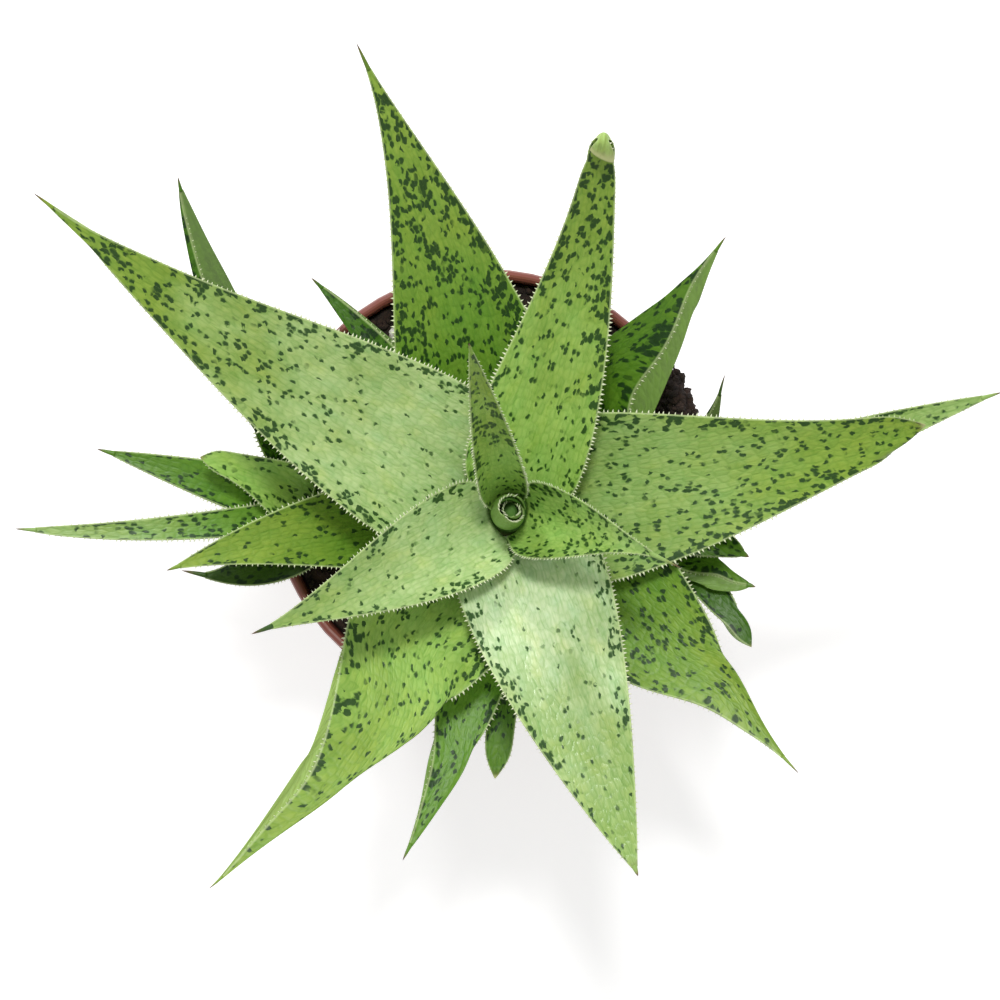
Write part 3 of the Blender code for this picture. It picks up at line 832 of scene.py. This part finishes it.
# the heart's two rolled leaves, the outer one first; a facing is where the roll is closed
OUTER_LEAN = np.array([1.0, 1.1, -1.0]) * MM  # its top, from the stem's axis and the CAD leaf's tip
OUTER_ROOT = 5.5 * MM  # depth of its root below the stem's top
OUTER_RADIUS, OUTER_THICK, OUTER_FACING, OUTER_OPENING = 4.1 * MM, 0.8 * MM, math.radians(205), 1.25
INNER_RADIUS, INNER_THICK, INNER_FACING, INNER_OPENING = 2.5 * MM, 0.6 * MM, math.radians(262), 1.4
INNER_EDGE = 0.25 * MM
HEART_STEP = np.array([-2.9, -1.2, 4.2]) * MM  # from the inner roll's top to the outer roll's

HOOD_RADIUS, HOOD_FLAP, HOOD_SLANT = 1.0 * MM, 4.2 * MM, 0.38  # leaf_north's folded tip
ROLL_RUN, ROLL_TURN, ROLL_HINGE = 26 * MM, math.radians(125), 0.68  # leaf_east's rolled margin
BRISTLE_PAST, BRISTLE_CURL = 0.7 * MM, 0.4 * MM  # how far a bristle goes past its leaf, and bends up
LONG_LEAF = 95 * MM  # leaves from this length up have the largest and widest spaced teeth


def leaf_grid(name):
    """The fine surface of one leaf, with the rolls and folds that its CAD solid leaves out."""
    rings, tip = rings_of(frame["nodes"][name])
    if name == "heart_leaf":
        stem_low, stem_high = (np.array(corner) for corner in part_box("main_stem"))
        crown = 0.5 * (stem_low + stem_high)
        crown[2] = stem_high[2]
        top = np.array([crown[0], crown[1], tip[2]]) + OUTER_LEAN
        root = crown - np.array([0.0, 0.0, OUTER_ROOT])
        return scroll_leaf(root, top, OUTER_RADIUS, OUTER_THICK, OUTER_FACING, OUTER_OPENING)
    fine = fine_grid(rings, tip)
    if name in THINNED:
        fine = fine._replace(lower=fine.upper + (fine.lower - fine.upper) * THINNED[name])
    if name == "leaf_north":
        reach = float(np.linalg.norm(tip - rings[-1, 3]))
        last = int(np.searchsorted(fine.along, fine.length - reach))
        upper, lower, along = fine.upper[:last], fine.lower[:last], fine.along[:last]
        fine = Fine(upper, lower, fine.share, along, along[-1])
        return curled_back(fine, tip, HOOD_RADIUS, HOOD_FLAP, HOOD_SLANT)
    if name == "leaf_east":
        return margin_rolled(fine, ROLL_RUN, ROLL_TURN, ROLL_HINGE)
    return fine


def add_leaf(name, seed):
    fine = leaf_grid(name)
    pieces = Pieces()
    pointed = name not in BLUNT and name != "heart_leaf"
    if pointed:
        fine, end = tip_cut(fine)
        leaf_point(pieces, fine, seed, end, BRISTLE_PAST, BRISTLE_CURL)
    leaf_body(pieces, fine, seed)
    grown = min(1.0, fine.length / LONG_LEAF)
    if name == "heart_leaf":
        rim_thorns(pieces, fine, seed)
        root, top = fine.upper[0].mean(0), fine.upper[-1].mean(0) - HEART_STEP
        inner = scroll_leaf(root, top, INNER_RADIUS, INNER_THICK, INNER_FACING, INNER_OPENING)
        leaf_body(pieces, inner, seed + 0.5, INNER_EDGE)
        rim_thorns(pieces, inner, seed)
    else:
        leaf_teeth(pieces, fine, seed, (0.80 + 0.50 * grown) * MM, (0.55 + 0.55 * grown) * MM)
    ob = pieces.build(name + "_surface")
    ob.data.materials.append(leaf_material(name + "_skin", LOOKS[name]))
    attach(ob, "root")
    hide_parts(name)


for number, leaf_name in enumerate(sorted(leaf_names)):
    add_leaf(leaf_name, float(number))


# ---------------------------------------------------------------- pot, soil and stems



def paint(name, material):
    materials = frame["nodes"][name].data.materials
    materials.clear()
    materials.append(material)


paint("pot", pot_material())
soil_look = soil_material()
paint("soil", soil_look)
stem_look = stem_material()
for name in frame["nodes"]:
    if slots[name] == "stem":
        paint(name, stem_look)


# ---------------------------------------------------------------- crumbs and grains on the soil

soil_low, soil_high = (np.array(corner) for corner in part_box("soil"))
pot_low, pot_high = (np.array(corner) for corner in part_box("pot"))
pot_middle = 0.5 * (pot_low + pot_high)
pot_radius = 0.5 * (pot_high[0] - pot_low[0])
soil_radius = 0.5 * (soil_high[0] - soil_low[0])
soil_mesh = frame["nodes"]["soil"].data
soil_mesh.calc_loop_triangles()
soil_tree = BVHTree.FromPolygons(
    [v.co.copy() for v in soil_mesh.vertices], [tuple(t.vertices) for t in soil_mesh.loop_triangles]
)
SOIL_SINK = 8 * MM  # the most that the soil's upper face lies below its highest point
BLANKET_RISE, BLANKET_THICK = 0.5 * MM, 2.5 * MM
CRUMB_LEVEL = 0.7 * MM  # the blanket's usual height over the plain soil
HEAP_UNEVEN = 1.4  # mm
LUMP_WIDTH = 5.0 * MM
CRUMB_STANDS = 0.3  # share of a crumb's size that its middle is above the blanket's usual height
SOIL_CRUMBS, HEAP_CRUMBS, GRAINS = 1150, 420, 46
HEAP_TURNS = 12.0, 27.0, 43.0  # degrees round the pot where the heap starts, is thickest and ends
HEAP_FROM, HEAP_ACROSS = 0.84, 0.175  # of the pot's radius
HEAP_CLIMB = 0.55  # share of the way across the heap that it climbs on
HEAP_FOOT, HEAP_TOP = 2.0 * MM, 2.0 * MM  # below the soil's highest point, and above the pot's rim
HEAP_DROP, HEAP_EDGE = 2.4 * MM, 0.75  # how far the heap falls again, and from what share of the way across


def ground(x, y):
    """Height of the soil's upper face, kept level over the pockets of the stems."""
    hit = soil_tree.ray_cast(Vector((x, y, soil_high[2] + 0.01)), Vector((0.0, 0.0, -1.0)))[0]
    level = hit.z if hit else soil_low[2]
    return max(level, soil_high[2] - SOIL_SINK)


def soil_blanket(rings=80, turns=220, rough=1.3 * MM):
    """The soil's broken upper face: a closed slab with a lumpy top, over the plain CAD soil."""
    reach = soil_radius - 0.4 * MM
    points, faces = [], []
    for i in range(1, rings + 1):
        for j in range(turns):
            turn = 2.0 * math.pi * j / turns
            r = reach * i / rings
            x, y = pot_middle[0] + r * math.cos(turn), pot_middle[1] + r * math.sin(turn)
            lumps = noise.fractal(Vector((x, y, 0.0)) / LUMP_WIDTH, 0.8, 2.1, 5)
            points.append((x, y, ground(x, y) + BLANKET_RISE + rough * max(-0.6, lumps)))
    top = len(points)
    for j in range(turns):
        x, y, z = points[top - turns + j]
        points.append((x, y, z - BLANKET_THICK))
    for i in range(rings):
        for j in range(turns):
            k = (j + 1) % turns
            faces.append((i * turns + j, (i + 1) * turns + j, (i + 1) * turns + k, i * turns + k))
    faces.append(tuple(range(turns)))
    faces.append(tuple(range(top, top + turns))[::-1])
    mesh = bpy.data.meshes.new("soil_blanket")
    mesh.from_pydata(points, [], faces)
    mesh.shade_smooth()
    return mesh


def lump_shapes(count=9):
    """A few unlike lumps of unit size, as (points, faces)."""
    shapes = []
    for i in range(count):
        bm = bmesh.new()
        bmesh.ops.create_icosphere(bm, subdivisions=2, radius=1.0)
        for v in bm.verts:
            v.co *= 1.0 + 0.42 * noise.noise(v.co * 1.3 + Vector((3.7 * i, 0.0, 0.0)))
            v.co *= 1.0 + 0.20 * noise.noise(v.co * 4.0 + Vector((0.0, 5.1 * i, 0.0)))
        points = np.array([v.co[:] for v in bm.verts])
        shapes.append((points, [tuple(v.index for v in face.verts) for face in bm.faces]))
        bm.free()
    return shapes


LUMPS = lump_shapes()


def scatter(name, places, material):
    """One object of many lumps; places is a list of (centre, (half sizes x, y, z))."""
    points, faces, count = [], [], 0
    for centre, sizes in places:
        shape, around = LUMPS[int(rng.integers(len(LUMPS)))]
        a, b = rng.uniform(0.0, 2.0 * math.pi, 2)
        spin = np.array([[math.cos(a), -math.sin(a), 0.0], [math.sin(a), math.cos(a), 0.0], [0.0, 0.0, 1.0]])
        tilt = np.array([[1.0, 0.0, 0.0], [0.0, math.cos(b), -math.sin(b)], [0.0, math.sin(b), math.cos(b)]])
        points.append((shape @ tilt.T) * np.array(sizes) @ spin.T + np.array(centre))
        faces += [tuple(v + count for v in face) for face in around]
        count += len(shape)
    mesh = bpy.data.meshes.new(name)
    mesh.from_pydata(np.concatenate(points).tolist(), [], faces)
    mesh.shade_smooth()
    mesh.materials.append(material)
    ob = bpy.data.objects.new(name, mesh)
    home.objects.link(ob)
    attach(ob, "root")


def on_soil(size):
    """A random place for a lump on the soil."""
    turn, r = rng.uniform(0.0, 2.0 * math.pi), (soil_radius - 1.2 * MM) * math.sqrt(rng.uniform())
    x, y = pot_middle[0] + r * math.cos(turn), pot_middle[1] + r * math.sin(turn)
    return (x, y, ground(x, y) + CRUMB_LEVEL + CRUMB_STANDS * size)


def heap_place(size):
    """A random place in the soil that was spilt over one side of the pot's rim."""
    turn = math.radians(rng.triangular(*HEAP_TURNS))
    share = rng.uniform()
    r = pot_radius * (HEAP_FROM + HEAP_ACROSS * share)
    rise = min(1.0, share / HEAP_CLIMB)
    foot = soil_high[2] - HEAP_FOOT
    high = foot + (pot_high[2] + HEAP_TOP - soil_high[2] + HEAP_FOOT) * rise
    high -= HEAP_DROP * max(0.0, share - HEAP_EDGE) / (1.0 - HEAP_EDGE)
    high -= rng.uniform(0.0, HEAP_UNEVEN) * MM
    return (pot_middle[0] + r * math.cos(turn), pot_middle[1] + r * math.sin(turn), high + 0.1 * size)


def uneven(size):
    return tuple(size * v for v in rng.uniform(0.75, 1.2, 3))


blanket = bpy.data.objects.new("soil_surface", soil_blanket())
blanket.data.materials.append(soil_look)
home.objects.link(blanket)
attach(blanket, "root")

crumbs = []
for _ in range(SOIL_CRUMBS):
    crumb = float(rng.triangular(0.35, 0.5, 1.7)) * MM
    crumbs.append((on_soil(crumb), uneven(crumb)))
for _ in range(HEAP_CRUMBS):
    crumb = float(rng.triangular(0.5, 0.8, 1.7)) * MM
    crumbs.append((heap_place(crumb), uneven(crumb)))
scatter("soil_crumbs", crumbs, soil_look)

grains = []
for _ in range(GRAINS):
    grain = float(rng.triangular(0.5, 0.7, 1.3)) * MM
    grains.append((on_soil(grain), uneven(grain)))
STONE_TURN, STONE_SHARE, STONE = math.radians(121), 0.825, 2.0 * MM
stone_x = pot_middle[0] + pot_radius * STONE_SHARE * math.cos(STONE_TURN)
stone_y = pot_middle[1] + pot_radius * STONE_SHARE * math.sin(STONE_TURN)
grains.append(((stone_x, stone_y, ground(stone_x, stone_y) + STONE), (STONE, 0.8 * STONE, 0.6 * STONE)))
scatter("perlite_grains", grains, grain_material())


# ---------------------------------------------------------------- floor, light and camera

FLOOR_SIZE, FLOOR_GAP = 6.0, 0.0002
AIM = (0.0, 0.0, 0.12)  # where both lights point
CAMERA_SHIFT = 0.0036  # from the pot's middle, towards +X and -Y
CAMERA_RISE = 0.900  # above the pot's rim

bpy.ops.mesh.primitive_plane_add(size=FLOOR_SIZE, location=(0.0, 0.0, float(pot_low[2]) - FLOOR_GAP))
floor = bpy.context.object
floor.name = "floor"
floor.data.materials.append(floor_material())


def area_light(name, place, size, power):
    data = bpy.data.lights.new(name, "AREA")
    data.shape = "DISK"
    data.size = size
    data.energy = power
    ob = bpy.data.objects.new(name, data)
    ob.location = place
    direction = np.array(AIM) - np.array(place)
    ob.rotation_euler = (
        math.acos(-direction[2] / np.linalg.norm(direction)),
        0.0,
        math.atan2(direction[1], direction[0]) - 0.5 * math.pi,
    )
    home.objects.link(ob)


area_light("key", (-0.02, 0.44, 1.28), 0.20, 9.0)
area_light("window", (-0.55, 1.55, 0.62), 0.30, 9.5)

world = bpy.data.worlds.new("studio")
bpy.context.scene.world = world
world.use_nodes = True
sky = world.node_tree.nodes["Background"].inputs
sky["Color"].default_value = (1.0, 1.0, 1.0, 1.0)
sky["Strength"].default_value = 0.60
bpy.context.scene.view_settings.view_transform = "Standard"

camera_data = bpy.data.cameras.new("camera")
camera_data.sensor_width = 36.0
camera_data.lens = 117.83
camera = bpy.data.objects.new("camera", camera_data)
over_x, over_y = float(pot_middle[0]) + CAMERA_SHIFT, float(pot_middle[1]) - CAMERA_SHIFT
camera.location = (over_x, over_y, float(pot_high[2]) + CAMERA_RISE)
camera.rotation_euler = (0.0, 0.0, 0.0)
home.objects.link(camera)
bpy.context.scene.camera = camera
